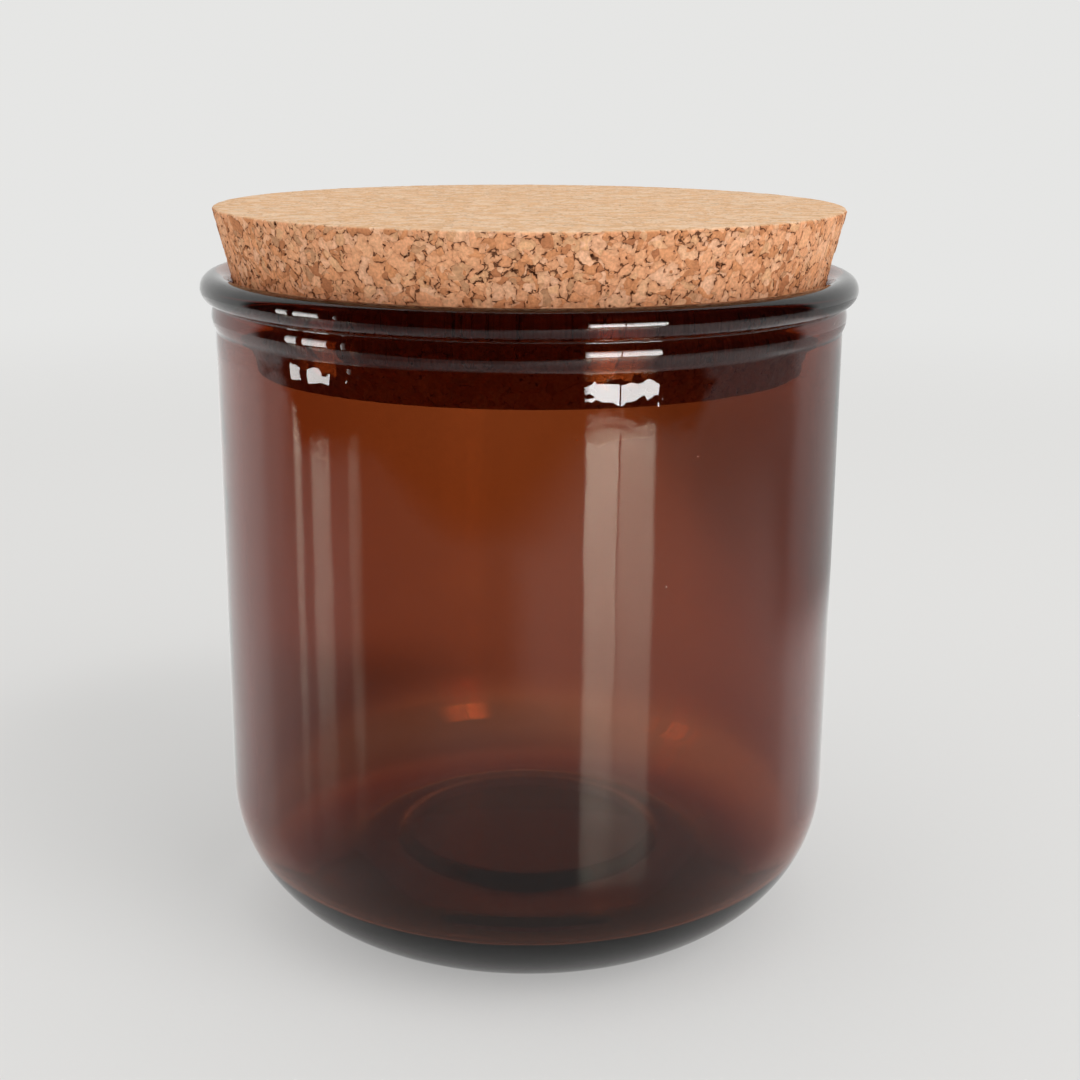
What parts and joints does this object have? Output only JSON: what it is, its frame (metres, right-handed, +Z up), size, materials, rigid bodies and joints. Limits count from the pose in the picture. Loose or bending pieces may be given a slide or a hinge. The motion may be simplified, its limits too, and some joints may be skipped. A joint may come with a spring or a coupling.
{
  "type": "glass storage jar",
  "caption": "Straight-sided brown glass storage jar with a rolled rim, a rounded heavy base and a tapered cork lid that lifts out of the mouth.",
  "frame": {"origin": "centre of the foot ring, on the surface that the jar stands on", "axes": "+Z up along the axis of the jar and its lid; X and Y are free, because both pieces are bodies of revolution"},
  "size_m": [0.1046, 0.1046, 0.1183],
  "materials": {
    "brown_glass": "clear fire-polished glass, brown through and through",
    "cork": "bare bonded cork granules, sanded flat on top"
  },
  "bodies": {
    "jar": {"glass_jar": "brown_glass"},
    "lid": {"cork_lid": "cork"}
  },
  "joints": [
    {"name": "lid_lift", "type": "slide", "parent": "jar", "child": "lid", "axis": [0, 0, 1], "range_m": [0, 0.06]}
  ]
}
